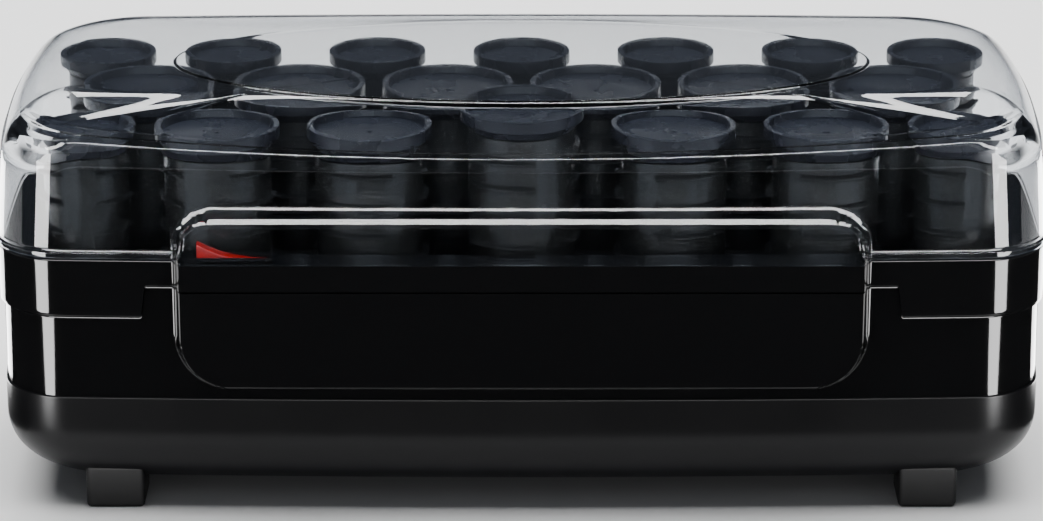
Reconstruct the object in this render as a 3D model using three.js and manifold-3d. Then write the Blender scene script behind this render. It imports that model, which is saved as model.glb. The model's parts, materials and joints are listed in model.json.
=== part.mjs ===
// Heated hair roller set: a low black case on four feet, with a heating plate and twenty metal
// posts inside it, a ribbed roller on each post, a red rocker switch, and a clear hinged lid.
// Millimetres, +Z up, +Y to the rear. The origin is under the middle of the case, on the table.
import * as THREE from "three";
import { mergeVertices } from "three/addons/utils/BufferGeometryUtils.js";
import Module from "manifold-3d";

const wasm = await Module();
wasm.setup();

// ---------------------------------------------------------------- driving dimensions
const GAP = 0.3; // clearance between pieces that touch
const RUNNING = 0.4; // clearance around a piece that turns

// Case outline, seen from above
const CASE_WIDTH = 350;
const CASE_DEPTH = 143;
const SIDE_BOW = 4.5; // how far each short side bulges
const FACE_BOW = 4; // how far the front and the rear bulge
const CORNER = 20;

// Case heights above the table
const BASE_Z = 7.3; // underside of the pan
const PAN_TOP = 37;
const BODY_TOP = 70.3;
const APRON_TOP = 81; // the body's raised middle at the front
const BEZEL_TOP = 90;
const LID_TOP = 141;

// Walls
const WALL = 2.5;
const BEZEL_WALL = 2.2;
const BODY_INSET = 1.5; // the body stands in this far from the bezel
const PAN_ROUND = 24; // radius between the pan's side and its underside

// Lid shape
const LID_DRAFT = 1.5;
const SHOULDER_Z = 117; // where the lid's walls start to turn over
const CROWN = 1; // rise of the lid's middle over its edge
const SHOULDER_SIDE = 24;
const SHOULDER_FRONT = 9;
const SHOULDER_REAR = 20;

// Raised panel on the front, shared by lid, bezel and body
const PANEL_PROUD = 4.5;
const PANEL_WIDTH = 221;
const PANEL_LOW = 48.3;
const PANEL_HIGH = 102.6;
const PANEL_TOP_CORNER = 10;
const PANEL_BOTTOM_CORNER = 16;
const PANEL_SIDE_SLOPE = 3.4;
const PANEL_TOP_SLOPE = 5.5;
const APRON_HALF = 123.5;

// Well that the rollers stand in, and the deck at its bottom
const LEDGE_SIDE = 13; // width of the bezel's top at the sides
const LEDGE_FRONT = 9;
const LEDGE_REAR = 9.5;
const WELL_CORNER = 16;
const WELL_WALL = 2;
const LEDGE = 2; // thickness of the bezel's top
const DECK_TOP = 60;
const DECK_THICK = 2.4;
const DECK_LIP = 3; // how far the deck reaches past the well

// Heating plate and its posts
const PLATE_TOP = 53;
const PLATE_THICK = 3;
const PLATE_MARGIN = 5; // from the well's wall to the plate's edge
const POST_RADIUS = 5;
const POST_TOP = 115;
const POST_HOLE = POST_RADIUS + 1.2;
const PLINTH_RADIUS = 15;
const PLINTH_RISE = 6.2; // lifts the middle front roller

// Rollers
const ROLLER_LENGTH = 67.7;
const ROLLER_WALL = 2;
const CAP_RIM = 4; // height of the cap's straight rim
const CAP_TAPER = 2.7; // height of the cone under it
const DISH = 1.8; // depth of the hollow in the cap's top
const SLEEVE_WALL = 1.8;
const FLANGE = 2; // thickness of the barrel's bottom ring
const SIZES = {
  medium: { barrel: 17.6, cap: 20.5 },
  large: { barrel: 19.2, cap: 22.2 },
  small: { barrel: 13.9, cap: 16.7 },
};

// Places of the posts: from the well's walls to the outermost rows, and along each row
const FRONT_ROW_IN = 20.5;
const SMALL_IN = 18.5; // the rear row and the ends of the outer rows
const MIDDLE_BACK = 2.75; // how far the middle row stands behind the middle of the other two
const MIDDLE_ENDS_IN = 17.5; // how far the middle row ends inside the others
const PITCH = 50;

// Hinge
const HINGE_X = 122; // middle of each hinge
const HINGE_CLEAR = 0.55; // from the case's rear wall to the knuckle
const KNUCKLE_RADIUS = 2.9;
const KNUCKLE_LENGTH = 13;
const EAR = 4;
const PIN_RADIUS = 1.3;
const EAR_DROP = 10; // how far the ears reach down the bezel's rear wall

// Switch
const SWITCH_X = -94.1;
const SWITCH_LENGTH = 27;
const SWITCH_WIDTH = 8;
const SWITCH_DEPTH = 13;
const SWITCH_FLANGE = 1.5;
const ROCKER_LENGTH = 24;
const ROCKER_TILT = 12; // degrees

// Feet and small parts
const FOOT_SIDE_IN = 39.7; // from the case's side to the middle of the foot
const FOOT_WIDTH = 19.4;
const FOOT_DEPTH = 20;
const FOOT_FACE_IN = 11; // from the case's front to the foot's front
const FOOT_CORNER = 2.5;
const PILLAR_SIDE_IN = 10; // from the tray's side to the pillar
const PILLAR_FACE_IN = 12;
const PILLAR_RADIUS = 4;
const TRAY_BOTTOM = 42.3;
const SHEET = 1; // thickness of the heat tray's steel
const ELEMENT_RADIUS = 2.9;
const INLET_X = 120;
const INLET_Z = 52;
const INLET_RADIUS = 7;
const INLET_BORE = 3.6;

// Steps in round shapes
const CORNER_STEPS = 5;
const LONG_STEPS = 6;
const SHORT_STEPS = 3;
const ROUND_STEPS = 5;
const ROLLER_SIDES = 12;
const PIN_SIDES = 10;

// ---------------------------------------------------------------- worked out from them
const halfWidth = CASE_WIDTH / 2;
const halfDepth = CASE_DEPTH / 2;
const panelFace = halfDepth + PANEL_PROUD;
const wellSide = halfWidth - LEDGE_SIDE;
const wellFront = halfDepth - LEDGE_FRONT;
const wellRear = halfDepth - LEDGE_REAR;
const plateSide = wellSide - PLATE_MARGIN;
const plateReach = wellRear - PLATE_MARGIN;
const rearWallAt = (x) => halfDepth - FACE_BOW * (x / (halfWidth - SIDE_BOW)) ** 2;
const hingeY = rearWallAt(HINGE_X - KNUCKLE_LENGTH / 2) + HINGE_CLEAR + KNUCKLE_RADIUS;
const hingeZ = BEZEL_TOP; // level with the seam, so that the lid's edge only ever rises
const sleeveBore = POST_RADIUS + 0.7;
const sleeveOuter = sleeveBore + SLEEVE_WALL;
const plateBottom = PLATE_TOP - PLATE_THICK;
const innerFloor = BASE_Z + WALL;
const endX = wellSide - SMALL_IN;
const outerRow = [-endX, -2 * PITCH, -PITCH, 0, PITCH, 2 * PITCH, endX];
const middleEnd = endX - MIDDLE_ENDS_IN;
const middleRow = [-middleEnd, -1.5 * PITCH, -PITCH / 2, PITCH / 2, 1.5 * PITCH, middleEnd];
const frontY = FRONT_ROW_IN - wellFront;
const rearY = wellRear - SMALL_IN;
const ROWS = {
  front: { y: frontY, xs: outerRow },
  middle: { y: (frontY + rearY) / 2 + MIDDLE_BACK, xs: middleRow },
  rear: { y: rearY, xs: outerRow },
};

// ---------------------------------------------------------------- materials
const paint = (color, roughness, metalness = 0) =>
  new THREE.MeshStandardMaterial({ color, roughness, metalness });
const clearPlastic = new THREE.MeshStandardMaterial({
  color: 0xb9c6d3,
  roughness: 0.05,
  metalness: 0,
  transparent: true,
  opacity: 0.3,
});
const glossBlack = paint(0x0c0c0d, 0.12);
const satinBlack = paint(0x17181a, 0.45);
const capBlack = paint(0x22242a, 0.4);
const barrelBlack = paint(0x1c1c1c, 0.5);
const red = paint(0xb5201b, 0.25);
const aluminium = paint(0xb9bcc0, 0.35, 1);
const steel = paint(0x9a9da1, 0.3, 1);
const rubber = paint(0x141414, 0.7);
const ceramic = paint(0xe5dfd2, 0.5);

// ---------------------------------------------------------------- solids
const degrees = THREE.MathUtils.degToRad;

// A closed three.js geometry as a solid that can be joined and cut.
function solid(geometry) {
  const plain = geometry.clone();
  plain.deleteAttribute("normal");
  plain.deleteAttribute("uv");
  const merged = mergeVertices(plain, 1e-4);
  return new wasm.Manifold(
    new wasm.Mesh({
      numProp: 3,
      vertProperties: merged.attributes.position.array,
      triVerts: new Uint32Array(merged.index.array),
    }),
  );
}

// Adds a named mesh of a solid to a group.
function addMesh(group, name, body, material) {
  const data = body.getMesh();
  const geometry = new THREE.BufferGeometry()
    .setAttribute("position", new THREE.BufferAttribute(data.vertProperties, 3))
    .setIndex(new THREE.BufferAttribute(data.triVerts, 1));
  const mesh = new THREE.Mesh(geometry.toNonIndexed(), material);
  mesh.geometry.computeVertexNormals();
  mesh.name = name;
  group.add(mesh);
  return mesh;
}

function box(x0, x1, y0, y1, z0, z1) {
  const block = new THREE.BoxGeometry(x1 - x0, y1 - y0, z1 - z0);
  return solid(block.translate((x0 + x1) / 2, (y0 + y1) / 2, (z0 + z1) / 2));
}

// A cylinder along +Z from z0 to z1.
function upright(x, y, radius, z0, z1, sides = 12) {
  const rod = new THREE.CylinderGeometry(radius, radius, z1 - z0, sides);
  return solid(rod.rotateX(Math.PI / 2).translate(x, y, (z0 + z1) / 2));
}

// A cylinder along +X from x0 to x1.
function crosswise(x0, x1, y, z, radius, sides = 14) {
  const rod = new THREE.CylinderGeometry(radius, radius, x1 - x0, sides);
  return solid(rod.rotateZ(Math.PI / 2).translate((x0 + x1) / 2, y, z));
}

// A turned piece: points of radius and height, which start and end on the axis or close.
function turned(points, sides) {
  const profile = points.map(([r, z]) => new THREE.Vector2(r, z));
  return new THREE.LatheGeometry(profile, sides).rotateX(Math.PI / 2);
}

// The case's outline at one height: a rounded rectangle with bulging sides.
function plan(side, front, rear, corner) {
  const w = side - SIDE_BOW;
  const f = front - FACE_BOW;
  const r = rear - FACE_BOW;
  const turns = [
    { x: w - corner, y: corner - f, from: -90, steps: SHORT_STEPS },
    { x: w - corner, y: r - corner, from: 0, steps: LONG_STEPS },
    { x: corner - w, y: r - corner, from: 90, steps: SHORT_STEPS },
    { x: corner - w, y: corner - f, from: 180, steps: LONG_STEPS },
  ];
  const points = [];
  turns.forEach(({ x, y, from, steps }, k) => {
    for (let i = 0; i <= CORNER_STEPS; i++) {
      const a = degrees(from + (90 * i) / CORNER_STEPS);
      points.push(new THREE.Vector2(x + corner * Math.cos(a), y + corner * Math.sin(a)));
    }
    const next = turns[(k + 1) % turns.length];
    const a = degrees(next.from);
    const start = points.at(-1);
    const end = new THREE.Vector2(next.x + corner * Math.cos(a), next.y + corner * Math.sin(a));
    for (let i = 1; i < steps; i++) points.push(start.clone().lerp(end, i / steps));
  });
  return points.map((p) => {
    const depth = p.y < 0 ? f : r;
    const x = p.x + Math.sign(p.x) * SIDE_BOW * (1 - (p.y / depth) ** 2);
    const y = p.y + Math.sign(p.y) * FACE_BOW * (1 - (p.x / w) ** 2);
    return new THREE.Vector2(x, y);
  });
}

// A closed skin over outlines stacked from low to high, with an optional rise at its middle.
function loft(rings, rise = 0) {
  const n = rings[0].points.length;
  const positions = [];
  rings.forEach(({ points, z }) => points.forEach((p) => positions.push(p.x, p.y, z)));
  const index = [];
  for (let k = 0; k + 1 < rings.length; k++)
    for (let i = 0; i < n; i++) {
      const a = k * n + i;
      const b = k * n + ((i + 1) % n);
      index.push(a, b, b + n, a, b + n, a + n);
    }
  const middle = rings[0].points.reduce((sum, p) => sum.add(p), new THREE.Vector2());
  middle.divideScalar(n);
  const low = positions.length / 3;
  positions.push(middle.x, middle.y, rings[0].z, middle.x, middle.y, rings.at(-1).z + rise);
  const last = (rings.length - 1) * n;
  for (let i = 0; i < n; i++) {
    const j = (i + 1) % n;
    index.push(low, j, i, low + 1, last + i, last + j);
  }
  const geometry = new THREE.BufferGeometry();
  geometry.setAttribute("position", new THREE.Float32BufferAttribute(positions, 3));
  return geometry.setIndex(index);
}

// The three forms that the case is cut from. grow moves the whole skin out by that much.
function lidForm(grow) {
  const ring = (inset, z, corner) => ({
    points: plan(halfWidth + grow - inset, halfDepth + grow - inset, halfDepth + grow - inset, corner),
    z,
  });
  const rings = [
    ring(0, DECK_TOP, CORNER + grow),
    ring(0, BEZEL_TOP, CORNER + grow),
    ring(LID_DRAFT, SHOULDER_Z, CORNER + grow),
  ];
  const height = LID_TOP - CROWN - SHOULDER_Z + grow;
  for (let i = 1; i <= ROUND_STEPS; i++) {
    const a = degrees((90 * i) / ROUND_STEPS);
    const reach = (radius) => (radius + grow) * Math.cos(a) - radius - LID_DRAFT;
    rings.push({
      points: plan(
        halfWidth + reach(SHOULDER_SIDE),
        halfDepth + reach(SHOULDER_FRONT),
        halfDepth + reach(SHOULDER_REAR),
        CORNER + grow,
      ),
      z: SHOULDER_Z + height * Math.sin(a),
    });
  }
  return solid(loft(rings, CROWN));
}

function bezelForm(grow) {
  const ring = (inset, z) => ({
    points: plan(halfWidth + grow - inset, halfDepth + grow - inset, halfDepth + grow - inset, CORNER + grow),
    z,
  });
  const lip = BODY_INSET * 0.7; // the bezel's lower edge is eased in by this
  return solid(loft([ring(lip, BODY_TOP), ring(0, BODY_TOP + 3), ring(0, BEZEL_TOP + 5)]));
}

function baseForm(grow) {
  const side = halfWidth - BODY_INSET;
  const face = halfDepth - BODY_INSET;
  const ring = (out, z, corner) => ({ points: plan(side + out, face + out, face + out, corner), z });
  const rings = [];
  for (let i = ROUND_STEPS; i >= 0; i--) {
    const a = degrees((90 * i) / ROUND_STEPS);
    const out = (PAN_ROUND + grow) * Math.cos(a) - PAN_ROUND;
    rings.push(ring(out, BASE_Z + PAN_ROUND - (PAN_ROUND + grow) * Math.sin(a), CORNER + grow));
  }
  rings.push(ring(grow, BEZEL_TOP, CORNER + grow));
  return solid(loft(rings));
}

// The raised panel: a block with sloping edges that stands out of the front.
function panelOutline(spread, grow) {
  const half = PANEL_WIDTH / 2 + spread * PANEL_SIDE_SLOPE + grow;
  const low = PANEL_LOW - spread * PANEL_SIDE_SLOPE - grow;
  const high = PANEL_HIGH + spread * PANEL_TOP_SLOPE + grow;
  const more = spread * PANEL_SIDE_SLOPE + grow;
  const outline = new THREE.Shape();
  const top = PANEL_TOP_CORNER + more;
  const bottom = PANEL_BOTTOM_CORNER + more;
  outline.absarc(half - bottom, low + bottom, bottom, -Math.PI / 2, 0);
  outline.absarc(half - top, high - top, top, 0, Math.PI / 2);
  outline.absarc(top - half, high - top, top, Math.PI / 2, Math.PI);
  outline.absarc(bottom - half, low + bottom, bottom, Math.PI, 1.5 * Math.PI);
  return outline.getPoints(CORNER_STEPS);
}

function panelForm(grow) {
  const back = halfDepth - FACE_BOW - 8;
  const block = loft([
    { points: panelOutline(1, grow), z: back },
    { points: panelOutline(1, grow), z: halfDepth + grow },
    { points: panelOutline(0, grow), z: panelFace + grow },
  ]);
  return solid(block.rotateX(Math.PI / 2));
}

const everything = CASE_WIDTH; // a cut this large reaches past the case on every side
const slab = (z0, z1) => box(-everything, everything, -everything, everything, z0, z1);
const well = (grow, z0, z1) => {
  const points = plan(wellSide + grow, wellFront + grow, wellRear + grow, WELL_CORNER + grow);
  return solid(loft([{ points, z: z0 }, { points, z: z1 }]));
};

const set = new THREE.Group();
set.name = "heated_roller_set";

// ---------------------------------------------------------------- hinge
const hingeSides = [-1, 1];
const knuckleEnds = (side) => [side * HINGE_X - KNUCKLE_LENGTH / 2, side * HINGE_X + KNUCKLE_LENGTH / 2];
const earSpans = (side) => {
  const [left, right] = knuckleEnds(side);
  return [
    [left - RUNNING - EAR, left - RUNNING],
    [right + RUNNING, right + RUNNING + EAR],
  ];
};

const hingeSpan = (side, extra) => {
  const half = KNUCKLE_LENGTH / 2 + RUNNING + EAR + extra;
  return [side * HINGE_X - half, side * HINGE_X + half];
};

function hingeKnuckles() {
  const knuckles = hingeSides.map((side) => {
    const [left, right] = knuckleEnds(side);
    const round = crosswise(left, right, hingeY, hingeZ, KNUCKLE_RADIUS, PIN_SIDES);
    const web = box(left, right, halfDepth - FACE_BOW, hingeY, hingeZ + GAP, hingeZ + KNUCKLE_RADIUS);
    return round.add(web);
  });
  return knuckles[0].add(knuckles[1]);
}

function hingeEars() {
  const ears = hingeSides.flatMap(earSpans).map(([left, right]) => {
    const block = box(
      left,
      right,
      halfDepth - FACE_BOW,
      hingeY + KNUCKLE_RADIUS,
      hingeZ - EAR_DROP,
      hingeZ,
    );
    return block.add(crosswise(left, right, hingeY, hingeZ, KNUCKLE_RADIUS, PIN_SIDES));
  });
  return ears.reduce((all, ear) => all.add(ear));
}

// Room in the lid's rear wall for the ears to pass as the lid turns.
function earNotches() {
  const reach = KNUCKLE_RADIUS + RUNNING;
  return hingeSides
    .flatMap(earSpans)
    .map(([left, right]) => crosswise(left - RUNNING, right + RUNNING, hingeY, hingeZ, reach, PIN_SIDES))
    .reduce((all, cut) => all.add(cut));
}

function pinHoles(clearance) {
  const holes = hingeSides.map((side) =>
    crosswise(...hingeSpan(side, 1), hingeY, hingeZ, PIN_RADIUS + clearance, PIN_SIDES),
  );
  return holes[0].add(holes[1]);
}

hingeSides.forEach((side) => {
  const pin = crosswise(...hingeSpan(side, 0), hingeY, hingeZ, PIN_RADIUS, PIN_SIDES);
  addMesh(set, side < 0 ? "hinge_pin_left" : "hinge_pin_right", pin, steel);
});

// ---------------------------------------------------------------- lid
const lidShell = lidForm(0)
  .add(panelForm(0))
  .subtract(lidForm(-WALL).add(panelForm(-WALL)))
  .intersect(slab(BEZEL_TOP + GAP, LID_TOP + 10))
  .subtract(earNotches())
  .add(hingeKnuckles())
  .subtract(pinHoles(RUNNING));
addMesh(set, "lid_shell", lidShell, clearPlastic);

// ---------------------------------------------------------------- switch
const switchY = -(wellFront + WELL_WALL + halfDepth + PANEL_PROUD - BEZEL_WALL) / 2;
const switchTop = BEZEL_TOP + GAP + SWITCH_FLANGE;

function switchPocket(grow, z0, z1) {
  const halfX = ROCKER_LENGTH / 2 + 0.6 + grow;
  const halfY = SWITCH_WIDTH / 2 - 1.3 + grow;
  return box(SWITCH_X - halfX, SWITCH_X + halfX, switchY - halfY, switchY + halfY, z0, z1);
}

const switchBody = switchPocket(0.8, BEZEL_TOP - SWITCH_DEPTH, switchTop)
  .add(
    box(
      SWITCH_X - SWITCH_LENGTH / 2,
      SWITCH_X + SWITCH_LENGTH / 2,
      switchY - SWITCH_WIDTH / 2,
      switchY + SWITCH_WIDTH / 2,
      BEZEL_TOP + GAP,
      switchTop,
    ),
  )
  .subtract(switchPocket(0, BEZEL_TOP - SWITCH_DEPTH + 4, switchTop + 1));
addMesh(set, "switch_housing", switchBody, glossBlack);

function rocker() {
  const half = ROCKER_LENGTH / 2;
  const side = new THREE.Shape();
  side.moveTo(-half * 0.6, -4);
  side.lineTo(half * 0.6, -4);
  side.lineTo(half, 0.5);
  side.lineTo(half, 3.6);
  side.quadraticCurveTo(0, 1, -half, 3.6);
  side.lineTo(-half, 0.5);
  side.closePath();
  const width = SWITCH_WIDTH - 2.6 - 2 * RUNNING;
  const block = new THREE.ExtrudeGeometry(side, { depth: width, bevelEnabled: false, curveSegments: 6 });
  block.translate(0, 0, -width / 2).rotateX(Math.PI / 2);
  return solid(block);
}
const rockerMesh = addMesh(set, "switch_rocker", rocker(), red);
rockerMesh.position.set(SWITCH_X, switchY, switchTop);
rockerMesh.rotation.y = degrees(ROCKER_TILT);

// ---------------------------------------------------------------- bezel
const apronGap = (grow) =>
  box(-APRON_HALF - grow, APRON_HALF + grow, -everything, -halfDepth / 2, BODY_TOP - 5, APRON_TOP);
const bezelHollow = bezelForm(-BEZEL_WALL)
  .add(panelForm(-BEZEL_WALL))
  .subtract(slab(BEZEL_TOP - LEDGE, LID_TOP + 10));
const bezelWall = bezelForm(0)
  .add(panelForm(0))
  .subtract(bezelHollow)
  .intersect(slab(BODY_TOP, BEZEL_TOP))
  .subtract(apronGap(0));
const bezel = bezelWall
  .add(well(WELL_WALL, DECK_TOP + GAP, BEZEL_TOP))
  .subtract(well(0, DECK_TOP - 5, BEZEL_TOP + 5))
  .subtract(switchPocket(0.8 + GAP, BEZEL_TOP - SWITCH_DEPTH - 5, BEZEL_TOP + 5))
  .add(hingeEars())
  .subtract(pinHoles(GAP));
addMesh(set, "top_bezel", bezel, glossBlack);

// ---------------------------------------------------------------- body
const bodyFill = slab(PAN_TOP, BODY_TOP - GAP).add(
  box(
    -APRON_HALF + GAP,
    APRON_HALF - GAP,
    -everything,
    -(halfDepth - BODY_INSET - WALL - FACE_BOW - 1),
    BODY_TOP - 5,
    APRON_TOP - GAP,
  ),
);
const bodyHoles = new THREE.CylinderGeometry(INLET_RADIUS - 2, INLET_RADIUS - 2, 30, 16).translate(
  INLET_X,
  halfDepth,
  INLET_Z,
);
const bodyShell = baseForm(0)
  .add(panelForm(0))
  .subtract(baseForm(-WALL).add(panelForm(-WALL)))
  .intersect(bodyFill)
  .subtract(solid(bodyHoles));
addMesh(set, "body_shell", bodyShell, glossBlack);

// Round bush that the mains lead passes through; its neck fits the hole in the body's rear.
const rearFace = rearWallAt(INLET_X) - BODY_INSET;
const inletBush = turned(
  [
    [INLET_BORE, -6],
    [INLET_RADIUS - 2 - GAP, -6],
    [INLET_RADIUS - 2 - GAP, 0.5],
    [INLET_RADIUS, 0.5],
    [INLET_RADIUS - 1.5, 5],
    [INLET_BORE, 5],
    [INLET_BORE, -6],
  ],
  14,
)
  .rotateX(-Math.PI / 2)
  .translate(INLET_X, rearFace + 0.3, INLET_Z);
addMesh(set, "cord_inlet_bush", solid(inletBush), rubber);

// ---------------------------------------------------------------- pan
const pillarSpots = [-1, 1].flatMap((sx) =>
  [-1, 1].map((sy) => [sx * (plateSide - PILLAR_SIDE_IN), sy * (plateReach - PILLAR_FACE_IN)]),
);
const pillars = pillarSpots
  .map(([x, y]) => upright(x, y, PILLAR_RADIUS, BASE_Z, TRAY_BOTTOM - GAP, PIN_SIDES))
  .reduce((all, pillar) => all.add(pillar));
const pan = baseForm(0)
  .subtract(baseForm(-WALL))
  .intersect(slab(0, PAN_TOP - GAP))
  .add(pillars.intersect(baseForm(0)));
addMesh(set, "bottom_pan", pan, satinBlack);

function foot(x, y) {
  const half = { x: FOOT_WIDTH / 2, y: FOOT_DEPTH / 2 };
  const r = FOOT_CORNER;
  const outline = new THREE.Shape();
  outline.absarc(half.x - r, r - half.y, r, -Math.PI / 2, 0);
  outline.absarc(half.x - r, half.y - r, r, 0, Math.PI / 2);
  outline.absarc(r - half.x, half.y - r, r, Math.PI / 2, Math.PI);
  outline.absarc(r - half.x, r - half.y, r, Math.PI, 1.5 * Math.PI);
  const block = new THREE.ExtrudeGeometry(outline, {
    depth: BASE_Z + PAN_ROUND / 2,
    bevelEnabled: false,
    curveSegments: 3,
  });
  return solid(block.translate(x, y, 0)).subtract(baseForm(GAP));
}
const footX = halfWidth - FOOT_SIDE_IN;
const footY = halfDepth - FOOT_FACE_IN - FOOT_DEPTH / 2;
addMesh(set, "foot_front_left", foot(-footX, -footY), rubber);
addMesh(set, "foot_front_right", foot(footX, -footY), rubber);
addMesh(set, "foot_rear_left", foot(-footX, footY), rubber);
addMesh(set, "foot_rear_right", foot(footX, footY), rubber);

// ---------------------------------------------------------------- deck
const posts = Object.keys(ROWS).flatMap((row) =>
  ROWS[row].xs.map((x, i) => ({ row, i, x, y: ROWS[row].y, raised: row === "front" && x === 0 })),
);
const plinth = posts.find((p) => p.raised);
const deck = well(DECK_LIP, DECK_TOP - DECK_THICK, DECK_TOP)
  .add(upright(plinth.x, plinth.y, PLINTH_RADIUS, DECK_TOP - 1, DECK_TOP + PLINTH_RISE, 20))
  .subtract(
    posts
      .map((p) => upright(p.x, p.y, POST_HOLE, DECK_TOP - 10, DECK_TOP + 20, 10))
      .reduce((all, hole) => all.add(hole)),
  );
addMesh(set, "deck_plate", deck, satinBlack);

// ---------------------------------------------------------------- heating plate and what is under it
// A flat block with the well's outline, made smaller by inset.
const plateBlock = (inset, z0, z1) => {
  const points = plan(plateSide - inset, plateReach - inset, plateReach - inset, WELL_CORNER - inset);
  return solid(loft([{ points, z: z0 }, { points, z: z1 }]));
};
const plate = posts.reduce(
  (all, p) => all.add(upright(p.x, p.y, POST_RADIUS, PLATE_TOP - 1, POST_TOP, 10)),
  plateBlock(0, plateBottom, PLATE_TOP),
);
addMesh(set, "heating_plate", plate, aluminium);

const trayTop = plateBottom - GAP;
const tray = plateBlock(0, TRAY_BOTTOM, trayTop).subtract(
  plateBlock(SHEET, TRAY_BOTTOM + SHEET, trayTop + 5),
);
addMesh(set, "heat_tray", tray, steel);

// Sheathed heating element: a long loop that lies between the tray and the plate.
function element() {
  const loopX = plateSide - 35;
  const loopY = plateReach - 28;
  const corner = 16;
  const z = (TRAY_BOTTOM + SHEET + plateBottom) / 2;
  const at = (x, y) => new THREE.Vector3(x, y, z);
  const path = new THREE.CurvePath();
  const line = (a, b) => path.add(new THREE.LineCurve3(a, b));
  const bend = (a, b, c) => path.add(new THREE.QuadraticBezierCurve3(a, b, c));
  line(at(loopX, -8), at(loopX, -loopY + corner));
  bend(at(loopX, -loopY + corner), at(loopX, -loopY), at(loopX - corner, -loopY));
  line(at(loopX - corner, -loopY), at(-loopX + corner, -loopY));
  bend(at(-loopX + corner, -loopY), at(-loopX, -loopY), at(-loopX, -loopY + corner));
  line(at(-loopX, -loopY + corner), at(-loopX, loopY - corner));
  bend(at(-loopX, loopY - corner), at(-loopX, loopY), at(-loopX + corner, loopY));
  line(at(-loopX + corner, loopY), at(loopX - corner, loopY));
  bend(at(loopX - corner, loopY), at(loopX, loopY), at(loopX, loopY - corner));
  line(at(loopX, loopY - corner), at(loopX, 8));
  const section = new THREE.Shape().absarc(0, 0, ELEMENT_RADIUS, 0, 2 * Math.PI);
  const tube = { extrudePath: path, steps: 44, curveSegments: 4, bevelEnabled: false };
  return solid(new THREE.ExtrudeGeometry(section, tube));
}
addMesh(set, "heating_element", element(), steel);

const underPlate = plateBottom - GAP;
addMesh(set, "thermostat", upright(30, 0, 8, TRAY_BOTTOM + SHEET + GAP, underPlate), ceramic);
const fuse = crosswise(-50, -24, 0, underPlate - 2.6, 2.4, 10);
addMesh(set, "thermal_fuse", fuse, ceramic);
const terminals = box(88, 116, 8, 24, innerFloor + GAP, innerFloor + 14);
addMesh(set, "terminal_block", terminals, ceramic);

// ---------------------------------------------------------------- rollers
function barrel(size) {
  const outer = size.barrel;
  const inner = outer - ROLLER_WALL;
  const top = ROLLER_LENGTH - CAP_RIM - CAP_TAPER - GAP;
  const bore = sleeveOuter + GAP;
  return turned(
    [
      [bore, 0],
      [outer, 0],
      [outer, top],
      [inner, top],
      [inner, FLANGE],
      [bore, FLANGE],
      [bore, 0],
    ],
    ROLLER_SIDES,
  );
}

function cap(size) {
  const underside = ROLLER_LENGTH - CAP_RIM - CAP_TAPER;
  return turned(
    [
      [0, underside + 1.7],
      [sleeveBore, underside + 1.7],
      [sleeveBore, FLANGE / 2],
      [sleeveOuter, FLANGE / 2],
      [sleeveOuter, underside],
      [size.barrel, underside],
      [size.cap, ROLLER_LENGTH - CAP_RIM],
      [size.cap, ROLLER_LENGTH],
      [size.cap - 1.2, ROLLER_LENGTH],
      [size.cap - 2.6, ROLLER_LENGTH - DISH],
      [0, ROLLER_LENGTH - DISH],
    ],
    ROLLER_SIDES,
  );
}

const sizeAt = ({ row, x }) => {
  if (row === "middle") return SIZES.large;
  return row === "rear" || Math.abs(x) === endX ? SIZES.small : SIZES.medium;
};
posts.forEach((post) => {
  const size = sizeAt(post);
  const roller = new THREE.Group();
  roller.position.set(post.x, post.y, DECK_TOP + GAP + (post.raised ? PLINTH_RISE : 0));
  const name = `roller_${post.row}_${post.i + 1}`;
  addMesh(roller, `${name}_barrel`, solid(barrel(size)), barrelBlack);
  addMesh(roller, `${name}_cap`, solid(cap(size)), capBlack);
  set.add(roller);
});

export default set;
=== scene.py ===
import json
import math
import random

import bpy
import numpy as np
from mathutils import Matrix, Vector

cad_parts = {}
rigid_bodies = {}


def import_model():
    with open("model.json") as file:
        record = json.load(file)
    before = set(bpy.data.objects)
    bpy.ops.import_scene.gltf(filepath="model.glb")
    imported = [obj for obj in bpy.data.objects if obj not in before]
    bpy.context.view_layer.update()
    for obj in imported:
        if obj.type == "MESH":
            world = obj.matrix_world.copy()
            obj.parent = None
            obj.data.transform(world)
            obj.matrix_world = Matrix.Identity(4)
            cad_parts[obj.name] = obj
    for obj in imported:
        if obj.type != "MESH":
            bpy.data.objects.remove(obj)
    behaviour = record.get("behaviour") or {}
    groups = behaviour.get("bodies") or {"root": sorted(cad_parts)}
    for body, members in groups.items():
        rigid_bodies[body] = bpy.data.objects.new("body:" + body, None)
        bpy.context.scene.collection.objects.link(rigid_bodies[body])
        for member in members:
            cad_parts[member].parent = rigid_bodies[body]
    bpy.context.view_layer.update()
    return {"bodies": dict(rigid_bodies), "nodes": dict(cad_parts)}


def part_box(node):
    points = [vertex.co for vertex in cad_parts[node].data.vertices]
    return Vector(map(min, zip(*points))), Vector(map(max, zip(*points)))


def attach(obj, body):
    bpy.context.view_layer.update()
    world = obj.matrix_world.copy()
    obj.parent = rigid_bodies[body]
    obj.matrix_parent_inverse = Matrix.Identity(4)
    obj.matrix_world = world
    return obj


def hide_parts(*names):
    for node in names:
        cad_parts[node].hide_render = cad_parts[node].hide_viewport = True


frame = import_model()
random.seed(7)

# ---------------------------------------------------------------- bottom pan
# The pan closes the case from below. It is injection-moulded ABS, left satin from the tool, with a
# large radius all round its underside, and it is screwed to the body from inside.

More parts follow.
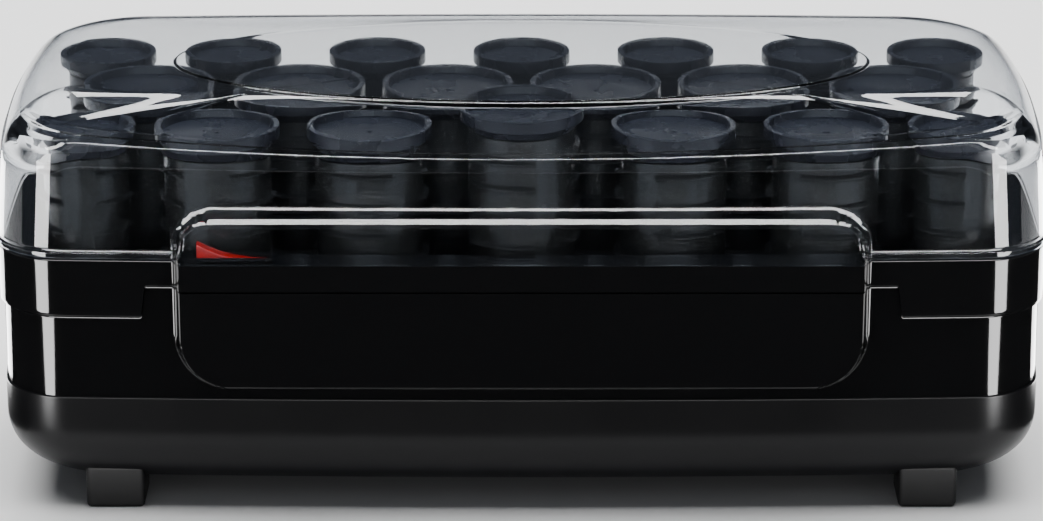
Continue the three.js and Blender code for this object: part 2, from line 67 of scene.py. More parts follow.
MM = 0.001
SIDE_BOW = 4.5  # the case's short sides bulge by this, and its long ones by the next
FACE_BOW = 4.0
CORNER = 20.0
PANEL_HALF = 112.3  # the raised panel on the front, at the middle of its sloping edges
PANEL_LOW = 46.8
PANEL_HIGH = 106.1
PANEL_REACH = 125.0  # how far from the middle of the front it can have an effect
PANEL_STEP = 0.46  # depth of each of the two risers at its top, and their height
PANEL_RISER = 1.8
PANEL_SLOPE = 2.2  # width of the slope down its sides and bottom
PANEL_FINE = (96.0, 118.0)  # where the front is divided finely for its sides
PANEL_TOP_CORNER = 12.0
PANEL_BOTTOM_CORNER = 17.5
STEP_X = 123.5  # where the bezel's lower edge steps down
PAN_WALL = 2.5
PAN_ROUND = 24.0
PAN_PROUD = 0.5  # how far the pan stands out from the body, so that its edge shows
ARC_POINTS = 17  # in each round corner

pan_low, pan_high = (np.array(corner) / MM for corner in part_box("bottom_pan"))
PANEL_FACE = -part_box("lid_shell")[0][1] / MM
CASE_SIDE = 175.0
CASE_FACE = 71.5
BODY_INSET = 1.5


def linear(colour):
    """A #RRGGBB colour as the linear RGBA that shaders take."""
    channels = [int(colour[i : i + 2], 16) / 255 for i in (1, 3, 5)]
    return [c / 12.92 if c <= 0.04045 else ((c + 0.055) / 1.055) ** 2.4 for c in channels] + [1.0]


def material(name):
    """A new material with its shader, its node tree and a place on the object to take patterns from."""
    made = bpy.data.materials.new(name)
    made.use_nodes = True
    tree = made.node_tree
    place = tree.nodes.new("ShaderNodeTexCoord").outputs["Object"]
    return made, tree, tree.nodes["Principled BSDF"], place


def add_node(tree, kind, links=(), **settings):
    """Adds a node, sets properties or sockets by name, and links (output, socket name) pairs into it."""
    made = tree.nodes.new(kind)
    for key, value in settings.items():
        if hasattr(made, key):
            setattr(made, key, value)
        else:
            made.inputs[key.replace("_", " ")].default_value = value
    for output, socket in links:
        tree.links.new(output, made.inputs[socket])
    return made


def front_lines(end):
    """Where the case's front is divided along X: finely at the panel's edges and at the bezel's step."""
    half = np.concatenate(
        [
            np.linspace(0, PANEL_FINE[0], 14)[:-1],
            np.arange(*PANEL_FINE, 0.5),
            np.linspace(PANEL_FINE[1], STEP_X - 2.5, 4)[:-1],
            np.arange(STEP_X - 2.5, STEP_X + 2.6, 0.4),
            np.linspace(STEP_X + 4, end, 8),
        ]
    )
    return np.concatenate([-half[:0:-1], half])


def outline(side, face, rear, corner=CORNER):
    """The case's plan, anticlockwise from the front left: bowed sides that meet in round corners."""
    w, f, r = side - SIDE_BOW, face - FACE_BOW, rear - FACE_BOW
    turns = [(w - corner, corner - f, -90), (w - corner, r - corner, 0)]
    turns += [(corner - w, r - corner, 90), (corner - w, corner - f, 180)]
    arcs = []
    for x, y, start in turns:
        a = np.radians(start + np.linspace(0, 90, ARC_POINTS))
        arcs.append(np.column_stack([x + corner * np.cos(a), y + corner * np.sin(a)]))
    lines = front_lines(w - corner)
    front = np.column_stack([lines, np.full(len(lines), -f)])[1:-1]

    def between(a, b, count):
        return a + (b - a) * np.linspace(0, 1, count + 1)[1:-1, None]

    p = np.vstack(
        [
            front,
            arcs[0],
            between(arcs[0][-1], arcs[1][0], 16),
            arcs[1],
            between(arcs[1][-1], arcs[2][0], 44),
            arcs[2],
            between(arcs[2][-1], arcs[3][0], 16),
            arcs[3],
        ]
    )
    depth = np.where(p[:, 1] < 0, f, r)
    x = p[:, 0] + np.sign(p[:, 0]) * SIDE_BOW * (1 - (p[:, 1] / depth) ** 2)
    y = p[:, 1] + np.sign(p[:, 1]) * FACE_BOW * (1 - (p[:, 0] / w) ** 2)
    return np.column_stack([x, y])


def smooth(t):
    t = np.clip(t, 0, 1)
    return t * t * (3 - 2 * t)


def ramp(t):
    """Rises from 0 to 1 about t = 0 in a straight slope with short rounded ends."""
    t = np.clip(t + 0.5, -0.2, 1.2)
    low = np.where(t < 0.2, (t + 0.2) ** 2 / 0.8, t)
    return np.where(t > 0.8, 1 - (1.2 - t) ** 2 / 0.8, low)


def raise_panel(p, z, shrink=0.0, set_back=0.0):
    """Moves a ring's front out to the panel's face, inside the panel's outline."""
    middle = (PANEL_LOW + PANEL_HIGH) / 2
    radius = np.where(z > middle, PANEL_TOP_CORNER, PANEL_BOTTOM_CORNER)
    dx = np.abs(p[:, 0]) - (PANEL_HALF - radius)
    dz = np.abs(z - middle) - ((PANEL_HIGH - PANEL_LOW) / 2 - radius)
    outside = np.hypot(np.maximum(dx, 0), np.maximum(dz, 0)) + np.minimum(np.maximum(dx, dz), 0)
    inside = radius - outside - shrink
    upper = np.clip(np.maximum(dz, 0) / radius, 0, 1) * (z > middle)
    share = ramp(inside / PANEL_SLOPE)
    # The top edge goes back in a riser, a level tread and a second riser.
    depth = np.maximum(np.abs(set_back - PANEL_FACE - p[:, 1]), 3 * PANEL_STEP)
    lower = np.clip((inside - 0.1) / PANEL_RISER, 0, 1)
    higher = np.clip((inside + 0.1 + PANEL_RISER) / PANEL_RISER, 0, 1)
    tread = np.clip((inside + 0.1) / 0.2, 0, 1) * (1 - 2 * PANEL_STEP / depth)
    share += (PANEL_STEP * (higher + lower) / depth + tread - share) * smooth(1.6 * upper)
    share[(p[:, 1] > 0) | (np.abs(p[:, 0]) > PANEL_REACH)] = 0
    out = p.copy()
    out[:, 1] += (set_back - PANEL_FACE - p[:, 1]) * share
    return out


def ring(p, z):
    return np.column_stack([p, np.broadcast_to(z, len(p))])


def open_edit(mode="FACE"):
    bpy.ops.object.mode_set(mode="EDIT")
    bpy.ops.mesh.select_mode(type=mode)


def close_edit():
    bpy.ops.object.mode_set(mode="OBJECT")


def clean(piece):
    """Merges doubles, closes round openings and turns every face outwards."""
    open_edit()
    bpy.ops.mesh.select_all(action="SELECT")
    bpy.ops.mesh.remove_doubles(threshold=1e-6)
    bpy.ops.mesh.fill_holes(sides=0)
    bpy.ops.mesh.select_all(action="SELECT")
    bpy.ops.mesh.normals_make_consistent(inside=False)
    close_edit()


def skin(name, rings, angle=35):
    """A closed skin over rings of equal length, from a grid whose first and last columns meet."""
    bpy.ops.object.select_all(action="DESELECT")
    bpy.ops.mesh.primitive_grid_add(x_subdivisions=len(rings[0]), y_subdivisions=len(rings) - 1)
    piece = bpy.context.object
    piece.name = name
    places = np.stack([np.vstack([r, r[:1]]) for r in rings]) * MM
    piece.data.vertices.foreach_set("co", places.astype(np.float32).ravel())
    piece.data.update()
    clean(piece)
    bpy.ops.object.shade_smooth_by_angle(angle=math.radians(angle))
    return piece


def finish(piece, made, slot, body, *nodes):
    """Gives a finished piece its material, hangs it on the body it rides on, and hides the parts it stands
    for.
    """
    piece.data.materials.clear()
    piece.data.materials.append(made)
    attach(piece, body)
    if nodes:
        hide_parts(*nodes)


def apply_modifiers(piece):
    bpy.context.view_layer.objects.active = piece
    for modifier in list(piece.modifiers):
        bpy.ops.object.modifier_apply(modifier=modifier.name)


satin_abs, tree, shader, place = material("satin black ABS, moulded")
# Spark-eroded tool: a very fine grain that breaks up the highlight.
shader.inputs["Base Color"].default_value = linear("#121214")
shader.inputs["IOR"].default_value = 1.53
shader.inputs["Specular IOR Level"].default_value = 0.2
grain = add_node(tree, "ShaderNodeTexNoise", [(place, "Vector")], Scale=1400.0, Detail=3.0)
cloud = add_node(tree, "ShaderNodeTexNoise", [(place, "Vector")], Scale=35.0, Detail=2.0)
rough = add_node(tree, "ShaderNodeMapRange", [(cloud.outputs[0], 0)], To_Min=0.26, To_Max=0.34)
tree.links.new(rough.outputs[0], shader.inputs["Roughness"])
bump = add_node(tree, "ShaderNodeBump", [(grain.outputs[0], "Height")], Strength=0.08, Distance=0.0001)
tree.links.new(bump.outputs[0], shader.inputs["Normal"])


def pan_ring(out, z, corner=CORNER):
    grow = PAN_PROUD - BODY_INSET + out
    side, face = CASE_SIDE + grow, CASE_FACE + grow
    return ring(outline(side, face, face, corner), z)


pan_rings = [pan_ring(-PAN_ROUND, pan_low[2]) * [s, s, 1] for s in (0.3, 0.6, 0.85, 0.97)]
for a in np.radians(np.linspace(90, 0, 19)):
    drop = PAN_ROUND * (1 - math.sin(a))
    pan_rings.append(pan_ring(PAN_ROUND * (math.cos(a) - 1), pan_low[2] + drop))
PAN_EDGE = [(0, 2.4), (0, 1.4), (0, 0.9), (0, 0.4), (-0.02, 0.3), (-0.08, 0.2), (-0.7, 0.05), (-1.1, 0)]
for out, drop in PAN_EDGE:
    pan_rings.append(pan_ring(out, pan_high[2] - drop))
pan_rings.append(pan_ring(-PAN_WALL, pan_high[2]))
for a in np.radians(np.linspace(0, 90, 10)):
    drop = PAN_ROUND - (PAN_ROUND - PAN_WALL) * math.sin(a)
    pan_rings.append(pan_ring((PAN_ROUND - PAN_WALL) * math.cos(a) - PAN_ROUND, pan_low[2] + drop))
pan_rings.append(pan_ring(-PAN_ROUND, pan_low[2] + PAN_WALL) * [0.3, 0.3, 1])
pan = skin("pan", pan_rings)
finish(pan, satin_abs, "satin_black", "case", "bottom_pan")

# ---------------------------------------------------------------- feet
# Four moulded rubber blocks, pushed into the pan, that keep the warm case off the table.

foot_rubber, tree, shader, place = material("black rubber, moulded")
shader.inputs["Base Color"].default_value = linear("#0e0e10")
shader.inputs["Specular IOR Level"].default_value = 0.2
shader.inputs["IOR"].default_value = 1.52
dust = add_node(tree, "ShaderNodeTexNoise", [(place, "Vector")], Scale=120.0, Detail=5.0)
rough = add_node(tree, "ShaderNodeMapRange", [(dust.outputs[0], 0)], To_Min=0.42, To_Max=0.62)
tree.links.new(rough.outputs[0], shader.inputs["Roughness"])
bump = add_node(tree, "ShaderNodeBump", [(dust.outputs[0], "Height")], Strength=0.15, Distance=0.0002)
tree.links.new(bump.outputs[0], shader.inputs["Normal"])


def block(name, low, high, radius, segments=3):
    """A cube at its size and place, in metres, with every edge rounded."""
    bpy.ops.object.select_all(action="DESELECT")
    low, high = np.array(low), np.array(high)
    bpy.ops.mesh.primitive_cube_add(size=1, location=(low + high) / 2, scale=high - low)
    piece = bpy.context.object
    piece.name = name
    bpy.ops.object.transform_apply(location=True, rotation=True, scale=True)
    if radius:
        edge = piece.modifiers.new("edge", "BEVEL")
        edge.width, edge.segments, edge.limit_method = radius, segments, "NONE"
        apply_modifiers(piece)
    bpy.ops.object.shade_smooth_by_angle(angle=math.radians(40))
    return piece


for name in ("foot_front_left", "foot_front_right", "foot_rear_left", "foot_rear_right"):
    low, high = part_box(name)
    foot = block(name.replace("foot", "foot_pad"), low, high, 0.0016)
    finish(foot, foot_rubber, "rubber", "case", name)

# ---------------------------------------------------------------- body
# The upper half of the case: gloss black ABS from a polished tool, with the raised panel moulded in
# its front and a raised middle that fills the step in the bezel.

BODY_WALL = 2.5
STEP_RISE = 10.7

gloss_abs, tree, shader, place = material("gloss black ABS, polished tool")
# A mirror finish with the slow waviness of moulded plastic, and faint smears.
shader.inputs["Base Color"].default_value = linear("#111112")
shader.inputs["IOR"].default_value = 1.53
shader.inputs["Specular IOR Level"].default_value = 0.35
smear = add_node(tree, "ShaderNodeTexNoise", [(place, "Vector")], Scale=60.0, Detail=4.0)
rough = add_node(tree, "ShaderNodeMapRange", [(smear.outputs[0], 0)], To_Min=0.05, To_Max=0.1)
tree.links.new(rough.outputs[0], shader.inputs["Roughness"])
wave = add_node(tree, "ShaderNodeTexNoise", [(place, "Vector")], Scale=45.0, Detail=1.0)
bump = add_node(tree, "ShaderNodeBump", [(wave.outputs[0], "Height")], Strength=0.06, Distance=0.001)
tree.links.new(bump.outputs[0], shader.inputs["Normal"])


def step_height(p, low, rise=STEP_RISE):
    """Height of the seam under the bezel: higher in the middle of the front."""
    middle = smooth((STEP_X + 0.9 - np.abs(p[:, 0])) / 1.8) * (p[:, 1] < 0)
    return low + rise * middle


def levels(low, high, bands):
    """Heights from low to high: every half millimetre inside the bands, and a few between them."""
    made = [low]
    for start, end in bands:
        made += list(np.linspace(made[-1], start, 6)[1:-1]) + list(np.arange(start, end, 0.5))
    made += list(np.linspace(made[-1], high, 6)[1:])
    return np.array(made)


def body_ring(inset, z, shrink=0.0, set_back=0.0):
    side, face = CASE_SIDE - BODY_INSET - inset, CASE_FACE - BODY_INSET - inset
    p = outline(side, face, face)
    z = z(p) if callable(z) else np.full(len(p), z)
    return ring(raise_panel(p, z, shrink, set_back), z)


SKIRT_LOW = 70.3
PANEL_LEVELS = [(43.5, 65.5)]  # heights that are divided finely for the panel's bottom
seam_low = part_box("body_shell")[0][2] / MM
body_top = SKIRT_LOW - 0.3
body_rings = [body_ring(1.0, seam_low), body_ring(0.3, seam_low + 0.2), body_ring(0, seam_low + 0.8)]
for z in levels(seam_low + 1.5, body_top - 4, PANEL_LEVELS):
    body_rings.append(body_ring(0, z))
for share in (0.3, 0.65):
    body_rings.append(body_ring(0, lambda p, s=share: body_top - 4 + (step_height(p, 0) + 0.8) * s))
for inset, drop in ((0, 3.0), (0, 2.4), (0, 1.6), (0, 1.1), (0, 0.6), (0.2, 0.2), (0.7, 0)):
    body_rings.append(body_ring(inset, lambda p, d=drop: step_height(p, body_top - d)))
body_rings.append(body_ring(BODY_WALL, lambda p: step_height(p, body_top), 1.6, BODY_WALL))
for z in levels(seam_low, body_top - 4, PANEL_LEVELS)[::-1]:
    body_rings.append(body_ring(BODY_WALL, z, 1.6, BODY_WALL))
body_rings.append(body_rings[0])
body = skin("body", body_rings)
finish(body, gloss_abs, "gloss_black", "case", "body_shell")

# ---------------------------------------------------------------- bezel
# The ring that the lid sits on: gloss black ABS like the body, standing a little proud of it. Its
# top is a flat ledge, and its inner edge turns down into the well that the rollers stand in.

BEZEL_WALL = 2.2
BEZEL_TOP = 90.0
LEDGE = 2.0
WELL = (162.0, 62.5, 62.0, 16.0)
WELL_WALL = 2.0


def bezel_ring(inset, z, shrink=0.0, set_back=0.0):
    p = outline(CASE_SIDE - inset, CASE_FACE - inset, CASE_FACE - inset)
    z = z(p) if callable(z) else np.full(len(p), z)
    return ring(raise_panel(p, z, shrink, set_back), z)


def well_ring(grow, z):
    side, face, rear, corner = WELL
    return ring(outline(side + grow, face + grow, rear + grow, corner + grow), z)


def skirt(rise):
    return lambda p: step_height(p, SKIRT_LOW + rise, STEP_RISE)


def skirt_up(share):
    """Part of the way from the skirt's lower edge to the bezel's top."""
    return lambda p: skirt(0.8)(p) + (BEZEL_TOP - 1.0 - skirt(0.8)(p)) * share


bezel_rings = [bezel_ring(BEZEL_WALL, skirt(0), 1.2, BEZEL_WALL)]
bezel_rings += [bezel_ring(0.8, skirt(0), 0, 0.5), bezel_ring(0.25, skirt(0.2))]
bezel_rings += [bezel_ring(0, skirt(rise)) for rise in (0.8, 1.6, 2.6)]
bezel_rings += [bezel_ring(0, skirt_up(s)) for s in (0.4, 0.7)]
bezel_rings += [bezel_ring(0, BEZEL_TOP - rise) for rise in (3.0, 2.0, 1.0)]
for inset, drop in ((0.02, 0.5), (0.06, 0.36), (0.7, 0.2), (0.9, 0.15), (1.1, 0)):
    bezel_rings.append(bezel_ring(inset, BEZEL_TOP - drop))
for grow, drop in ((0.9, 0), (0.4, 0.15), (0.1, 0.5)):
    bezel_rings.append(well_ring(grow, BEZEL_TOP - drop))
bezel_rings += [well_ring(0, z) for z in (BEZEL_TOP - 1, 80, 70, 60.3)]
bezel_rings += [well_ring(WELL_WALL, z) for z in (60.3, 75, BEZEL_TOP - LEDGE)]
bezel_rings += [bezel_ring(BEZEL_WALL, BEZEL_TOP - LEDGE, 1.2, BEZEL_WALL)]
bezel_rings += [bezel_rings[0]]
bezel = skin("bezel", bezel_rings)


def cut_out(piece, *cutters):
    """Cuts cutters out of a piece, and deletes them."""
    for cutter in cutters:
        hole = piece.modifiers.new("hole", "BOOLEAN")
        hole.object, hole.operation, hole.solver = cutter, "DIFFERENCE", "EXACT"
        apply_modifiers(piece)
        bpy.data.objects.remove(cutter)


switch_low, switch_high = (np.array(corner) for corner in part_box("switch_housing"))
pocket = block("pocket", switch_low + [0.0008, 0.0008, 0.0], switch_high - [0.0008, 0.0008, 0.0], 0)
cut_out(bezel, pocket)
bezel.select_set(True)
bpy.context.view_layer.objects.active = bezel
bpy.ops.object.shade_smooth_by_angle(angle=math.radians(35))
finish(bezel, gloss_abs, "gloss_black", "case", "top_bezel")

# ---------------------------------------------------------------- hinge
# Two ears on the bezel hold each end of a steel pin, and a knuckle of the lid turns between them.

EAR = 4.0
EAR_DROP = 10.0
KNUCKLE_RADIUS = 2.9


def cylinder(name, centre, radius, length, axis="Z", vertices=48, bevel=0.0):
    """A cylinder at its size and place, in metres, along an axis, with rounded ends."""
    bpy.ops.object.select_all(action="DESELECT")
    turn = {"X": (0, math.pi / 2, 0), "Y": (math.pi / 2, 0, 0), "Z": (0, 0, 0)}[axis]
    bpy.ops.mesh.primitive_cylinder_add(
        vertices=vertices, radius=radius, depth=length, location=centre, rotation=turn
    )
    piece = bpy.context.object
    piece.name = name
    bpy.ops.object.transform_apply(location=True, rotation=True, scale=True)
    if bevel:
        edge = piece.modifiers.new("edge", "BEVEL")
        edge.width, edge.segments, edge.angle_limit = bevel, 3, math.radians(40)
        apply_modifiers(piece)
    bpy.ops.object.shade_smooth_by_angle(angle=math.radians(40))
    return piece


def join(name, *parts):
    """Joins parts into one piece by a boolean union."""
    first = parts[0]
    for other in parts[1:]:
        union = first.modifiers.new("union", "BOOLEAN")
        union.object, union.operation, union.solver = other, "UNION", "EXACT"
        apply_modifiers(first)
        bpy.data.objects.remove(other)
    first.name = name
    bpy.ops.object.select_all(action="DESELECT")
    first.select_set(True)
    bpy.context.view_layer.objects.active = first
    bpy.ops.object.shade_smooth_by_angle(angle=math.radians(40))
    return first


pin_steel, tree, shader, place = material("drawn steel wire")
shader.inputs["Base Color"].default_value = linear("#a9abae")
shader.inputs["Metallic"].default_value = 1.0
draw = add_node(tree, "ShaderNodeTexNoise", [(place, "Vector")], Scale=900.0, Detail=2.0)
rough = add_node(tree, "ShaderNodeMapRange", [(draw.outputs[0], 0)], To_Min=0.2, To_Max=0.38)
tree.links.new(rough.outputs[0], shader.inputs["Roughness"])

for side in ("left", "right"):
    pin_name = f"hinge_pin_{side}"
    low, high = (np.array(corner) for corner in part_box(pin_name))
    centre = (low + high) / 2
    pin = cylinder(f"pin_{side}", centre, (high[2] - low[2]) / 2, high[0] - low[0], "X", 32, 0.0003)
    finish(pin, pin_steel, "steel", "case", pin_name)
    for end, sign in (("outer", -1), ("inner", 1)):
        x = centre[0] + sign * ((high[0] - low[0]) / 2 - EAR / 2 * MM)
        eye = cylinder("eye", (x, centre[1], centre[2]), KNUCKLE_RADIUS * MM, EAR * MM, "X", 48)
        ear = block(
            f"hinge_ear_{side}_{end}",
            (x - EAR / 2 * MM, centre[1] - 0.0058, centre[2] - EAR_DROP * MM),
            (x + EAR / 2 * MM, centre[1] + KNUCKLE_RADIUS * MM, centre[2]),
            0,
        )
        ear = join(f"hinge_ear_{side}_{end}", ear, eye)
        bore = cylinder("bore", (x, centre[1], centre[2]), (high[2] - low[2]) / 2 + 5e-5, 0.01, "X", 32)
        cut_out(ear, bore)
        finish(ear, gloss_abs, "gloss_black", "case")

# ---------------------------------------------------------------- plates inside the case
# The heating plate is an aluminium casting with a post for each roller. The element lies in a steel
# tray under it, with the thermostat and the fuse, and the black deck covers it.

cast_aluminium, tree, shader, place = material("cast aluminium, tumbled")
shader.inputs["Metallic"].default_value = 1.0
pits = add_node(tree, "ShaderNodeTexNoise", [(place, "Vector")], Scale=400.0, Detail=6.0)
tone = add_node(tree, "ShaderNodeValToRGB", [(pits.outputs[0], "Fac")])
tone.color_ramp.elements[0].color = linear("#9a9b9d")
tone.color_ramp.elements[1].color = linear("#c3c4c6")
tree.links.new(tone.outputs[0], shader.inputs["Base Color"])
rough = add_node(tree, "ShaderNodeMapRange", [(pits.outputs[0], 0)], To_Min=0.32, To_Max=0.5)
tree.links.new(rough.outputs[0], shader.inputs["Roughness"])
bump = add_node(tree, "ShaderNodeBump", [(pits.outputs[0], "Height")], Strength=0.2, Distance=0.0002)
tree.links.new(bump.outputs[0], shader.inputs["Normal"])

fired_ceramic, tree, shader, place = material("steatite ceramic, unglazed")
grit = add_node(tree, "ShaderNodeTexNoise", [(place, "Vector")], Scale=700.0, Detail=4.0)
tone = add_node(tree, "ShaderNodeValToRGB", [(grit.outputs[0], "Fac")])
tone.color_ramp.elements[0].color = linear("#d8d0c0")
tone.color_ramp.elements[1].color = linear("#efe9dd")
tree.links.new(tone.outputs[0], shader.inputs["Base Color"])
shader.inputs["Roughness"].default_value = 0.6

FINISHES = {
    "heating_plate": cast_aluminium,
    "heat_tray": pin_steel,
    "heating_element": pin_steel,
    "thermostat": fired_ceramic,
    "thermal_fuse": fired_ceramic,
    "terminal_block": fired_ceramic,
    "deck_plate": satin_abs,
    "cord_inlet_bush": foot_rubber,
}
for name, made in FINISHES.items():
    node = frame["nodes"][name]
    node.data.materials.clear()
    node.data.materials.append(made)

# ---------------------------------------------------------------- switch
# A snap-in rocker switch on the front ledge: a gloss black frame and a red rocker that is lit from
# inside when the set is on.

rocker_red, tree, shader, place = material("red polycarbonate, translucent")
shader.inputs["Base Color"].default_value = linear("#860f0d")
shader.inputs["IOR"].default_value = 1.58
shader.inputs["Subsurface Weight"].default_value = 0.3
shader.inputs["Subsurface Radius"].default_value = (0.004, 0.001, 0.001)
haze = add_node(tree, "ShaderNodeTexNoise", [(place, "Vector")], Scale=300.0, Detail=3.0)
rough = add_node(tree, "ShaderNodeMapRange", [(haze.outputs[0], 0)], To_Min=0.14, To_Max=0.24)
tree.links.new(rough.outputs[0], shader.inputs["Roughness"])

frame_low = np.array([switch_low[0], switch_low[1], BEZEL_TOP * MM + 0.0003])
housing = block("switch_frame", frame_low, switch_high, 0.0005)
shaft = block(
    "shaft",
    (switch_low[0] + 0.0009, switch_low[1] + 0.0009, switch_low[2]),
    (switch_high[0] - 0.0009, switch_high[1] - 0.0009, frame_low[2] + 0.0004),
    0,
)
housing = join("switch_frame", housing, shaft)
hollow = block(
    "hollow",
    (switch_low[0] + 0.0009, switch_low[1] + 0.0013, switch_low[2] + 0.004),
    (switch_high[0] - 0.0009, switch_high[1] - 0.0013, switch_high[2] + 0.002),
    0,
)
cut_out(housing, hollow)
finish(housing, gloss_abs, "gloss_black", "case", "switch_housing")

ROCKER_PROFILE = [(-0.98, 4.9), (-0.7, 3.0), (-0.35, 1.3), (0.0, 0.1), (0.5, -0.9), (0.98, -1.4)]
rocker_low, rocker_high = (np.array(corner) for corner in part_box("switch_rocker"))
rocker_middle = (rocker_low + rocker_high) / 2
rocker_half = (rocker_high - rocker_low) / 2
bpy.ops.object.select_all(action="DESELECT")
bpy.ops.mesh.primitive_cube_add(size=1)
rocker = bpy.context.object
rocker.name = "rocker_cap"
open_edit()
bpy.ops.mesh.select_all(action="DESELECT")
close_edit()
for edge in rocker.data.edges:
    start, end = (rocker.data.vertices[i].co for i in edge.vertices)
    edge.select = abs(start.x - end.x) > 0.5
open_edit("EDGE")
bpy.ops.mesh.subdivide(number_cuts=len(ROCKER_PROFILE) - 2)
close_edit()
columns = sorted({round(v.co.x, 4) for v in rocker.data.vertices})
for vertex in rocker.data.vertices:
    reach, rise = ROCKER_PROFILE[columns.index(round(vertex.co.x, 4))]
    top = BEZEL_TOP + 1.6 + rise
    vertex.co.x = rocker_middle[0] + reach * rocker_half[0]
    vertex.co.y = rocker_middle[1] + 2 * vertex.co.y * rocker_half[1]
    vertex.co.z = top * MM if vertex.co.z > 0 else (BEZEL_TOP - 2.5) * MM
rocker.data.update()
clean(rocker)
edge = rocker.modifiers.new("edge", "BEVEL")
edge.width, edge.segments, edge.angle_limit = 0.0004, 3, math.radians(50)
apply_modifiers(rocker)
bpy.ops.object.shade_smooth_by_angle(angle=math.radians(40))
finish(rocker, rocker_red, "rocker_red", "rocker", "switch_rocker")

# ---------------------------------------------------------------- rollers
# Each roller is a ribbed nylon barrel round a sleeve that slips over its post, with a dished
# polypropylene cap pressed on its top. The ribs stand in three groups, with smooth lanes between
# them for the clip. There are three sizes.

SEGMENTS = 72
RIB_GROUP = 14  # segments with ribs, and then the smooth lane
RIB_LANE = 10
RIB_PITCH = 10.0
RIB_BELOW_TOP = 13.0
RIB_COUNT = 6
RIB_THICK = 1.3
RIB_PROUD = 2.0
CAP_RIM = 4.0
CAP_TAPER = 2.7
CAP_EDGE = 1.9
CAP_DISH = 2.6

barrel_nylon, tree, shader, place = material("black nylon, moulded")
# A slightly blotchy, satin surface, as glass-filled nylon comes out of the tool.
blotch = add_node(tree, "ShaderNodeTexNoise", [(place, "Vector")], Scale=90.0, Detail=4.0)
tone = add_node(tree, "ShaderNodeValToRGB", [(blotch.outputs[0], "Fac")])
tone.color_ramp.elements[0].color = linear("#141414")
tone.color_ramp.elements[1].color = linear("#1c1c1c")
tree.links.new(tone.outputs[0], shader.inputs["Base Color"])
shader.inputs["IOR"].default_value = 1.53
rough = add_node(tree, "ShaderNodeMapRange", [(blotch.outputs[0], 0)], To_Min=0.2, To_Max=0.3)
tree.links.new(rough.outputs[0], shader.inputs["Roughness"])
grain = add_node(tree, "ShaderNodeTexNoise", [(place, "Vector")], Scale=1100.0, Detail=3.0)
bump = add_node(tree, "ShaderNodeBump", [(grain.outputs[0], "Height")], Strength=0.12, Distance=0.0001)
tree.links.new(bump.outputs[0], shader.inputs["Normal"])

cap_plastic, tree, shader, place = material("charcoal polypropylene, moulded")
# Slightly blue, with the fine matt grain that keeps it from marking.
blotch = add_node(tree, "ShaderNodeTexNoise", [(place, "Vector")], Scale=70.0, Detail=4.0)
tone = add_node(tree, "ShaderNodeValToRGB", [(blotch.outputs[0], "Fac")])
tone.color_ramp.elements[0].color = linear("#191a1f")
tone.color_ramp.elements[1].color = linear("#202127")
tree.links.new(tone.outputs[0], shader.inputs["Base Color"])
shader.inputs["IOR"].default_value = 1.49
shader.inputs["Specular IOR Level"].default_value = 0.3
rough = add_node(tree, "ShaderNodeMapRange", [(blotch.outputs[0], 0)], To_Min=0.22, To_Max=0.32)
tree.links.new(rough.outputs[0], shader.inputs["Roughness"])
grain = add_node(tree, "ShaderNodeTexNoise", [(place, "Vector")], Scale=1300.0, Detail=3.0)
bump = add_node(tree, "ShaderNodeBump", [(grain.outputs[0], "Height")], Strength=0.1, Distance=0.0001)
tree.links.new(bump.outputs[0], shader.inputs["Normal"])


def select_faces(piece, test):
    """In object mode, selects the faces whose centre and normal pass a test, and nothing else."""
    for face in piece.data.polygons:
        face.select = bool(test(face.center, face.normal))
    for edge in piece.data.edges:
        edge.select = False
    for vertex in piece.data.vertices:
        vertex.select = False


def make_barrel(radius, top):
    """A barrel that stands at the origin."""
    barrel = cylinder("barrel", (0, 0, top / 2 * MM), radius * MM, top * MM, "Z", SEGMENTS)
    heights = [top + CAP_RIM + CAP_TAPER - RIB_BELOW_TOP - i * RIB_PITCH for i in range(RIB_COUNT)]
    cuts = sorted(h + s * RIB_THICK / 2 for h in heights for s in (-1, 1))
    open_edit()
    for z in cuts:
        bpy.ops.mesh.select_all(action="SELECT")
        bpy.ops.mesh.bisect(plane_co=(0, 0, z * MM), plane_no=(0, 0, 1))
    close_edit()
    period = RIB_GROUP + RIB_LANE

    def in_rib(centre, normal):
        turn = math.atan2(centre.y, centre.x) / (2 * math.pi) * SEGMENTS
        level = any(abs(centre.z / MM - h) < RIB_THICK / 2 for h in heights)
        return level and abs(normal.z) < 0.5 and (turn - 0.5) % period < RIB_GROUP

    select_faces(barrel, in_rib)
    open_edit()
    bpy.ops.mesh.extrude_region_shrink_fatten(
        TRANSFORM_OT_shrink_fatten={"value": RIB_PROUD * MM, "use_even_offset": True}
    )
    close_edit()
    select_faces(barrel, lambda centre, normal: normal.z < -0.9 and centre.z < 1e-5)
    open_edit()
    bpy.ops.mesh.inset(thickness=2 * MM)
    bpy.ops.mesh.inset(thickness=0.4 * MM, depth=-1.2 * MM)
    close_edit()
    edge = barrel.modifiers.new("edge", "BEVEL")
    edge.width, edge.segments, edge.angle_limit = 0.42 * MM, 1, math.radians(40)
    apply_modifiers(barrel)
    bpy.ops.object.shade_smooth_by_angle(angle=math.radians(30))
    return barrel


